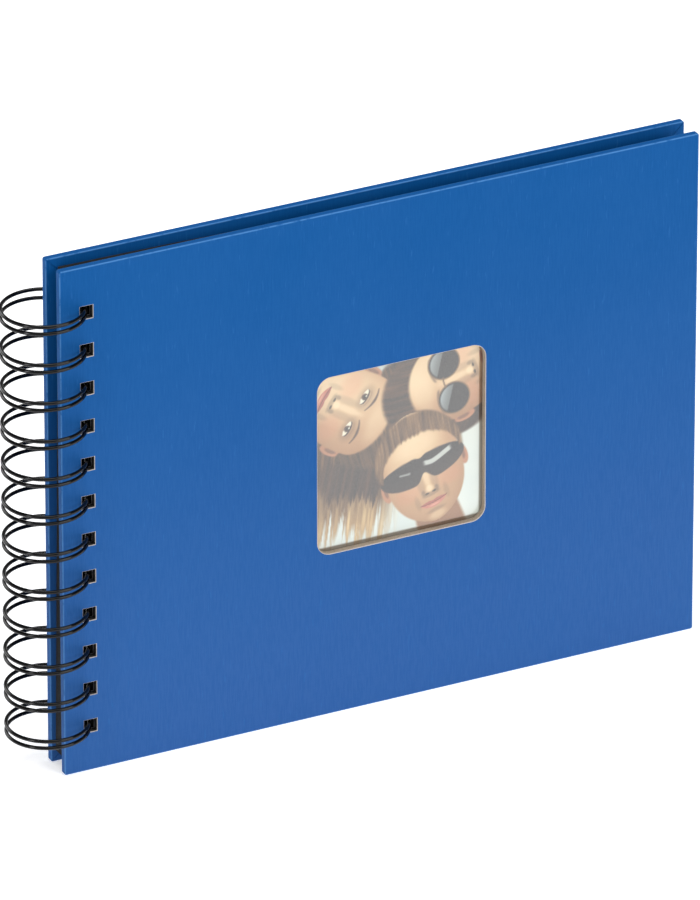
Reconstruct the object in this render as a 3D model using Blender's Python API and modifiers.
"""Scrapbook album: two cloth-covered board covers and twenty black leaves on a double-loop wire binding.

The album stands upright on the bottom edges of its covers. X runs from the wire binding to the fore edge,
Y from the front cover to the back cover, and Z up the covers. The origin is under the middle of the album.
Every piece hangs from the ring axis, the upright line that the covers and the leaves turn about.
"""

import math

import bmesh
import bpy
from mathutils import Matrix, Vector

# Covers, in metres
COVER_WIDTH = 0.215
COVER_HEIGHT = 0.170
CLOTH_THICKNESS = 0.0003
BOARD_THICKNESS = 0.0017
LINING_THICKNESS = 0.0002
LAYER_GAP = 0.0001
COVER_EDGE_ROUND = 0.0005
TURN_IN_WIDTH = 0.015
LINING_INSET = 0.006

# Punched holes, the same in the covers and the leaves
HOLE_SIZE = 0.0043
HOLE_PITCH = 0.0127
HOLE_TO_SPINE_EDGE = 0.0088
HOLE_END_MARGIN = 0.010

# Window in the front cover and the print behind it
WINDOW_WIDTH = 0.057
WINDOW_HEIGHT = 0.060
WINDOW_RADIUS = 0.0045
WINDOW_TO_SPINE_EDGE = 0.1140
PRINT_BORDER = 0.007
PRINT_THICKNESS = 0.00025

# Leaves
LEAF_COUNT = 20
LEAF_THICKNESS = 0.0002
LEAF_GAP = 0.00011
LEAF_TO_COVER = 0.00025
LEAF_SPINE_INSET = 0.0025
LEAF_FORE_INSET = 0.004
LEAF_TOP_INSET = 0.0029
LEAF_FLOOR_CLEARANCE = 0.001
LEAF_WIRE_CLEARANCE = 0.0003

# Wire binding
WIRE_DIAMETER = 0.0012
RING_RADIUS = 0.0126
LOOP_WIDTH_AT_BASE = 0.0029
LOOP_WIDTH_AT_TIP = 0.0017
BASE_BEND_RADIUS = 0.0012
BASE_ANGLE = math.radians(58)
TIP_ANGLE = math.radians(42 + 360)
WIRE_STEP_ANGLE = math.radians(21.5)
BEND_STEPS = 3
TIP_STEPS = 4

CORNER_STEPS = 5
CUT_PAST = 0.002

# Depth of each cover layer below the cover's outer face
BOARD_DEPTH = CLOTH_THICKNESS + LAYER_GAP
TURN_IN_DEPTH = BOARD_DEPTH + BOARD_THICKNESS + LAYER_GAP
CLOTH_BACK_DEPTH = TURN_IN_DEPTH + CLOTH_THICKNESS
LINING_DEPTH = CLOTH_BACK_DEPTH + LAYER_GAP
COVER_THICKNESS = LINING_DEPTH + LINING_THICKNESS

# The stack of leaves, centred on the ring axis, and the covers either side of it
LEAF_PITCH = LEAF_THICKNESS + LEAF_GAP
STACK_HALF = ((LEAF_COUNT - 1) * LEAF_PITCH + LEAF_THICKNESS) / 2
COVER_INNER_Y = STACK_HALF + LEAF_TO_COVER
COVER_OUTER_Y = COVER_INNER_Y + COVER_THICKNESS


def wire_x(y):
    """How far the wire's centre line stands from the ring axis where it crosses y inside the stack."""
    return math.sqrt(RING_RADIUS**2 - y**2)


# Places along X, measured from the ring axis: each hole is centred on the stretch of wire that crosses it
HOLE_X = (wire_x(COVER_INNER_Y) + wire_x(COVER_OUTER_Y)) / 2
LEAF_HOLE_X = (wire_x(0) + wire_x(STACK_HALF)) / 2
SPINE_X = HOLE_X - HOLE_TO_SPINE_EDGE
FORE_X = SPINE_X + COVER_WIDTH
WINDOW_X = SPINE_X + WINDOW_TO_SPINE_EDGE
RING_AXIS_X = (RING_RADIUS + WIRE_DIAMETER / 2 - FORE_X) / 2
MIDDLE_Z = COVER_HEIGHT / 2

HOLE_COUNT = 1 + int((COVER_HEIGHT - 2 * HOLE_END_MARGIN) / HOLE_PITCH)
HOLE_HEIGHTS = [HOLE_PITCH * ((HOLE_COUNT - 1) / 2 - place) for place in range(HOLE_COUNT)]

# A leaf droops about the middle of its holes until its end holes come close to the wire
WIRE_SWING = (wire_x(0) - wire_x(STACK_HALF)) / 2
HOLE_SLACK = HOLE_SIZE / 2 - WIRE_SWING - WIRE_DIAMETER / 2 - LEAF_WIRE_CLEARANCE
LEAF_DROOP = math.asin(max(HOLE_SLACK, 0) / HOLE_HEIGHTS[0])
LEAF_SPINE_REACH = LEAF_HOLE_X - SPINE_X - LEAF_SPINE_INSET
LEAF_FORE_REACH = FORE_X - LEAF_FORE_INSET - LEAF_HOLE_X
LEAF_FOOT_INSET = LEAF_FORE_REACH * math.sin(LEAF_DROOP) + LEAF_FLOOR_CLEARANCE

FRONT = -1
BACK = 1
UPRIGHT = math.radians(90)


def make_material(name, color, roughness, metallic=0.0):
    material = bpy.data.materials.new(name)
    material.use_nodes = True
    shader = material.node_tree.nodes["Principled BSDF"]
    shader.inputs["Base Color"].default_value = (*color, 1.0)
    shader.inputs["Roughness"].default_value = roughness
    shader.inputs["Metallic"].default_value = metallic
    return material


def make_collection(name):
    collection = bpy.data.collections.new(name)
    bpy.context.scene.collection.children.link(collection)
    return collection


def place(name, data, collection, parent=None, location=(0, 0, 0), rotation=(0, 0, 0)):
    piece = bpy.data.objects.new(name, data)
    piece.location = location
    piece.rotation_euler = rotation
    piece.parent = parent
    collection.objects.link(piece)
    return piece


def rectangle(low, high):
    """Outline from the corner low to the corner high, each (x, z)."""
    return [(low[0], low[1]), (high[0], low[1]), (high[0], high[1]), (low[0], high[1])]


def window_outline():
    """The window's edge, with round corners."""
    outline = []
    reach_x = WINDOW_WIDTH / 2 - WINDOW_RADIUS
    reach_z = WINDOW_HEIGHT / 2 - WINDOW_RADIUS
    for corner, (side_x, side_z) in enumerate([(1, 1), (-1, 1), (-1, -1), (1, -1)]):
        for step in range(CORNER_STEPS + 1):
            angle = (corner + step / CORNER_STEPS) * math.pi / 2
            x = WINDOW_X + side_x * reach_x + WINDOW_RADIUS * math.cos(angle)
            z = MIDDLE_Z + side_z * reach_z + WINDOW_RADIUS * math.sin(angle)
            outline.append((x, z))
    return outline


def hole_outlines(center_x, center_z):
    half = HOLE_SIZE / 2
    return [
        rectangle((center_x - half, center_z + z - half), (center_x + half, center_z + z + half))
        for z in HOLE_HEIGHTS
    ]


def flat_sheet(name, outlines, thickness, material):
    """A sheet as a filled 2D curve. The first outline is its edge, and the others are its holes."""
    curve = bpy.data.curves.new(name, "CURVE")
    curve.dimensions = "2D"
    curve.fill_mode = "BOTH"
    curve.extrude = thickness / 2
    for outline in outlines:
        spline = curve.splines.new("POLY")
        spline.points.add(len(outline) - 1)
        for point, (x, z) in zip(spline.points, outline):
            point.co = (x, z, 0, 1)
        spline.use_cyclic_u = True
    curve.materials.append(material)
    return curve


def add_box(shape, low, high):
    low, high = Vector(low), Vector(high)
    matrix = Matrix.Translation((low + high) / 2) @ Matrix.Diagonal((*(high - low), 1))
    return bmesh.ops.create_cube(shape, size=1, matrix=matrix)["verts"]


def mesh_from(shape, name):
    mesh = bpy.data.meshes.new(name)
    shape.to_mesh(mesh)
    shape.free()
    return mesh


def box_mesh(name, low, high):
    shape = bmesh.new()
    add_box(shape, low, high)
    return mesh_from(shape, name)


def layer(side, depth, thickness):
    """The low and high Y of a cover layer that starts at depth below the cover's outer face."""
    ends = [side * (COVER_OUTER_Y - depth), side * (COVER_OUTER_Y - depth - thickness)]
    return min(ends), max(ends)


def hole_cutter(cutters, axis):
    shape = bmesh.new()
    half = HOLE_SIZE / 2
    reach = COVER_OUTER_Y + CUT_PAST
    for z in HOLE_HEIGHTS:
        low = (HOLE_X - half, -reach, MIDDLE_Z + z - half)
        add_box(shape, low, (HOLE_X + half, reach, MIDDLE_Z + z + half))
    return place("hole_cutter", mesh_from(shape, "hole_cutter"), cutters, axis)


def window_cutter(cutters, axis):
    shape = bmesh.new()
    half_x, half_z = WINDOW_WIDTH / 2, WINDOW_HEIGHT / 2
    low = (WINDOW_X - half_x, -COVER_OUTER_Y - CUT_PAST, MIDDLE_Z - half_z)
    add_box(shape, low, (WINDOW_X + half_x, -COVER_INNER_Y, MIDDLE_Z + half_z))
    through = [e for e in shape.edges if abs(e.verts[0].co.y - e.verts[1].co.y) > LAYER_GAP]
    bmesh.ops.bevel(
        shape, geom=through, offset=WINDOW_RADIUS, segments=CORNER_STEPS, profile=0.5, affect="EDGES"
    )
    return place("window_cutter", mesh_from(shape, "window_cutter"), cutters, axis)


def board_cavity_cutter(cutters, axis, side, name):
    """The room that the board takes inside the cloth, with a layer gap all round."""
    wall = CLOTH_THICKNESS
    low_y, high_y = layer(side, CLOTH_THICKNESS, BOARD_THICKNESS + 2 * LAYER_GAP)
    low = (SPINE_X + wall, low_y, wall)
    high = (FORE_X - wall, high_y, COVER_HEIGHT - wall)
    return place(name, box_mesh(name, low, high), cutters, axis)


def turn_in_cutter(cutters, axis, side, name):
    """The opening between the four strips of cloth that are turned in behind the board."""
    low_y, high_y = layer(side, TURN_IN_DEPTH - LAYER_GAP, CLOTH_THICKNESS + LAYER_GAP + CUT_PAST)
    low = (SPINE_X + TURN_IN_WIDTH, low_y, TURN_IN_WIDTH)
    high = (FORE_X - TURN_IN_WIDTH, high_y, COVER_HEIGHT - TURN_IN_WIDTH)
    return place(name, box_mesh(name, low, high), cutters, axis)


def cloth(name, side, cuts, material, album, axis):
    """The covering cloth: a thin skin over the board's outer face and edges, turned in behind it."""
    low_y, high_y = layer(side, 0, CLOTH_BACK_DEPTH)
    mesh = box_mesh(name, (SPINE_X, low_y, 0), (FORE_X, high_y, COVER_HEIGHT))
    mesh.materials.append(material)
    piece = place(name, mesh, album, axis)
    bevel = piece.modifiers.new("edge_round", "BEVEL")
    bevel.width = COVER_EDGE_ROUND
    bevel.segments = 2
    for cutter in cuts:
        boolean = piece.modifiers.new(cutter.name, "BOOLEAN")
        boolean.operation = "DIFFERENCE"
        boolean.solver = "EXACT"
        boolean.object = cutter
    return piece


def cover(side, prefix, materials, album, cutters, axis, holes, window=None):
    """One cover: its board, the cloth over it and the lining that hides the turned-in edges."""
    openings = hole_outlines(HOLE_X, MIDDLE_Z)
    board_openings = openings + ([window_outline()] if window else [])
    inset = CLOTH_THICKNESS + LAYER_GAP
    board_edge = rectangle((SPINE_X + inset, inset), (FORE_X - inset, COVER_HEIGHT - inset))
    board = flat_sheet(prefix + "_board", [board_edge] + board_openings, BOARD_THICKNESS, materials["board"])
    board_y = sum(layer(side, BOARD_DEPTH, BOARD_THICKNESS)) / 2
    place(prefix + "_board", board, album, axis, (0, board_y, 0), (UPRIGHT, 0, 0))

    lining_edge = rectangle(
        (SPINE_X + LINING_INSET, LINING_INSET), (FORE_X - LINING_INSET, COVER_HEIGHT - LINING_INSET)
    )
    lining = flat_sheet(prefix + "_lining", [lining_edge] + openings, LINING_THICKNESS, materials["paper"])
    lining_y = sum(layer(side, LINING_DEPTH, LINING_THICKNESS)) / 2
    place(prefix + "_lining", lining, album, axis, (0, lining_y, 0), (UPRIGHT, 0, 0))

    cuts = [
        board_cavity_cutter(cutters, axis, side, prefix + "_cavity_cutter"),
        turn_in_cutter(cutters, axis, side, prefix + "_turn_in_cutter"),
        holes,
    ]
    if window:
        cuts.append(window)
    cloth(prefix + "_cloth", side, cuts, materials["cloth"], album, axis)


def display_print(material, album, axis):
    """The picture behind the window, glued to the board's inner face between the turned-in edges."""
    half_x = WINDOW_WIDTH / 2 + PRINT_BORDER
    half_z = WINDOW_HEIGHT / 2 + PRINT_BORDER
    low_y, high_y = layer(FRONT, TURN_IN_DEPTH, PRINT_THICKNESS)
    low = (WINDOW_X - half_x, low_y, MIDDLE_Z - half_z)
    mesh = box_mesh("display_print", low, (WINDOW_X + half_x, high_y, MIDDLE_Z + half_z))
    mesh.materials.append(material)
    place("display_print", mesh, album, axis)


def leaves(material, album, axis):
    """The leaves, numbered from the front cover, each drooping on the wire by the slack in its holes."""
    foot, top = LEAF_FOOT_INSET - MIDDLE_Z, MIDDLE_Z - LEAF_TOP_INSET
    edge = rectangle((-LEAF_SPINE_REACH, foot), (LEAF_FORE_REACH, top))
    sheet = flat_sheet("leaf", [edge] + hole_outlines(0, 0), LEAF_THICKNESS, material)
    for number in range(1, LEAF_COUNT + 1):
        y = (number - (LEAF_COUNT + 1) / 2) * LEAF_PITCH
        place(f"leaf_{number:02d}", sheet, album, axis, (LEAF_HOLE_X, y, MIDDLE_Z), (UPRIGHT, LEAF_DROOP, 0))


def arc(center, radius, start, end, steps):
    """Points (s, z) on an arc about center, from the angle start to the angle end."""
    angles = [start + (end - start) * step / steps for step in range(steps + 1)]
    return [(center[0] + radius * math.cos(a), center[1] + radius * math.sin(a)) for a in angles]


def loop_points(height):
    """One double loop, laid flat: s runs round the ring from the base, and z is the height."""
    tip = RING_RADIUS * (TIP_ANGLE - BASE_ANGLE)
    base_half, tip_half = LOOP_WIDTH_AT_BASE / 2, LOOP_WIDTH_AT_TIP / 2
    bend = BASE_BEND_RADIUS
    steps = math.ceil((TIP_ANGLE - BASE_ANGLE) / WIRE_STEP_ANGLE)
    down_first_leg = []
    for step in range(1, steps):
        share = step / steps
        down_first_leg.append((bend + (tip - bend) * share, base_half + (tip_half - base_half) * share))
    upper = arc((bend, base_half + bend), bend, math.pi, 1.5 * math.pi, BEND_STEPS) + down_first_leg
    turn = arc((tip, 0), tip_half, math.pi / 2, -math.pi / 2, TIP_STEPS)
    lower = [(s, -z) for s, z in reversed(upper)]
    return [(s, height + z) for s, z in upper + turn + lower]


def wire_binding(material, album, axis):
    """One wire bent into a comb of double loops and closed into rings, joined along the seam."""
    flat = [point for z in HOLE_HEIGHTS for point in loop_points(MIDDLE_Z + z)]
    curve = bpy.data.curves.new("wire_binding", "CURVE")
    curve.dimensions = "3D"
    curve.bevel_depth = WIRE_DIAMETER / 2
    curve.bevel_resolution = 1
    curve.use_fill_caps = True
    spline = curve.splines.new("POLY")
    spline.points.add(len(flat) - 1)
    for point, (s, z) in zip(spline.points, flat):
        angle = BASE_ANGLE + s / RING_RADIUS
        point.co = (RING_RADIUS * math.cos(angle), RING_RADIUS * math.sin(angle), z, 1)
    curve.materials.append(material)
    place("wire_binding", curve, album, axis)


def main():
    for old in list(bpy.data.objects):
        bpy.data.objects.remove(old)

    materials = {
        "cloth": make_material("blue_cloth", (0.026, 0.127, 0.391), 0.75),
        "board": make_material("raw_board", (0.42, 0.34, 0.25), 0.9),
        "paper": make_material("black_paper", (0.012, 0.012, 0.013), 0.85),
        "print": make_material("photo_print", (0.42, 0.46, 0.50), 0.2),
        "wire": make_material("coated_wire", (0.01, 0.01, 0.011), 0.35),
    }
    album = make_collection("scrapbook_album")
    cutters = make_collection("cutters")
    axis = place("ring_axis", None, album, location=(RING_AXIS_X, 0, 0))

    holes = hole_cutter(cutters, axis)
    window = window_cutter(cutters, axis)
    cover(FRONT, "front", materials, album, cutters, axis, holes, window)
    cover(BACK, "back", materials, album, cutters, axis, holes)
    for cutter in cutters.objects:
        cutter.hide_render = True
        cutter.display_type = "WIRE"

    display_print(materials["print"], album, axis)
    leaves(materials["paper"], album, axis)
    wire_binding(materials["wire"], album, axis)


main()
